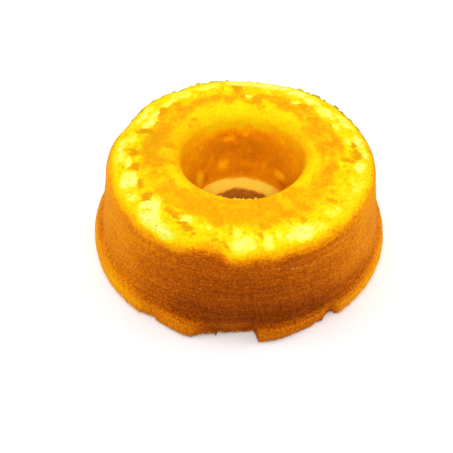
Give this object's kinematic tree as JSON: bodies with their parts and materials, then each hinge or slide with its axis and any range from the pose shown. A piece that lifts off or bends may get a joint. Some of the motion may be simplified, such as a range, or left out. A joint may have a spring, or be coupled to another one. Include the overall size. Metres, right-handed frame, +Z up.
{
  "type": "pineapple ring cake",
  "caption": "Ring-shaped sponge cake with a wide centre hole, a rounded top edge, a leaning side wall and a worn, broken brim round its foot.",
  "frame": {"origin": "middle of the flat underside, which lies on z = 0", "axes": "+Z up along the axis of the ring; -Y is the front, the side with the wide gap in the brim; +X is the right"},
  "size_m": [0.1999, 0.1993, 0.0654],
  "materials": {
    "baked_crust": "dry baked crust, golden brown on the side and torn to pale yellow crumb on the top"
  },
  "bodies": {
    "root": {"cake": "baked_crust"}
  },
  "joints": []
}
